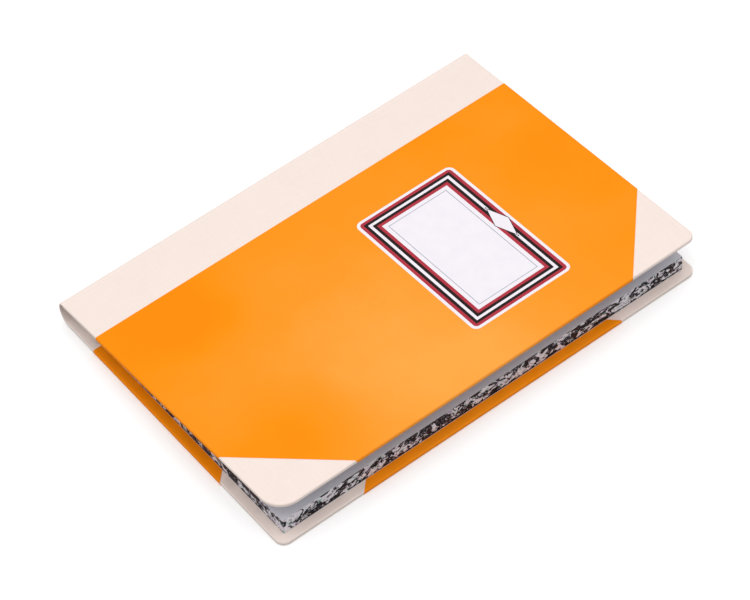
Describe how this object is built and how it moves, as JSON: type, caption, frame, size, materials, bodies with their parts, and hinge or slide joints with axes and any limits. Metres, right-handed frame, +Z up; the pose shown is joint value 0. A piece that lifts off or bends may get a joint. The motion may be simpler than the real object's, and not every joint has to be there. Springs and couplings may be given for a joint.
{
  "type": "hardcover notebook",
  "caption": "Case-bound A5 notebook with a rounded cloth spine, cloth corners, plain paper sides, marbled page edges and a blank framed label; both hard covers open.",
  "frame": {"origin": "under the middle of the resting book, on the table", "axes": "+X from the spine to the fore edge, +Y from the tail to the head, +Z up from the back cover to the front cover"},
  "size_m": [0.1532, 0.216, 0.0238],
  "materials": {
    "grey_board": "matte",
    "book_cloth": "matte",
    "side_paper": "satin",
    "end_paper": "matte",
    "page_paper": "matte",
    "gauze": "matte",
    "label_paper": "satin",
    "red_print": "satin",
    "black_print": "satin",
    "grey_print": "satin"
  },
  "bodies": {
    "book": {"text_block": "page_paper", "front_flyleaf": "end_paper", "back_flyleaf": "end_paper", "spine_gauze": "gauze", "spine_strip": "grey_board", "spine_cloth": "book_cloth"},
    "front_cover": {"front_board": "grey_board", "front_quarter_cloth": "book_cloth", "front_head_corner_cloth": "book_cloth", "front_tail_corner_cloth": "book_cloth", "front_side_paper": "side_paper", "front_pastedown": "end_paper", "label": "label_paper", "label_red_bands": "red_print", "label_black_bands": "black_print", "label_field_rule": "grey_print"},
    "back_cover": {"back_board": "grey_board", "back_quarter_cloth": "book_cloth", "back_head_corner_cloth": "book_cloth", "back_tail_corner_cloth": "book_cloth", "back_side_paper": "side_paper", "back_pastedown": "end_paper"}
  },
  "joints": [
    {"name": "front_joint", "type": "hinge", "parent": "book", "child": "front_cover", "pos_m": [-0.07415, 0, 0.01159], "axis": [0, -1, 0], "range_deg": [-4.25, 175.75]},
    {"name": "back_joint", "type": "hinge", "parent": "book", "child": "back_cover", "pos_m": [-0.07415, 0, 0.00104], "axis": [0, 1, 0], "range_deg": [0, 180]}
  ]
}
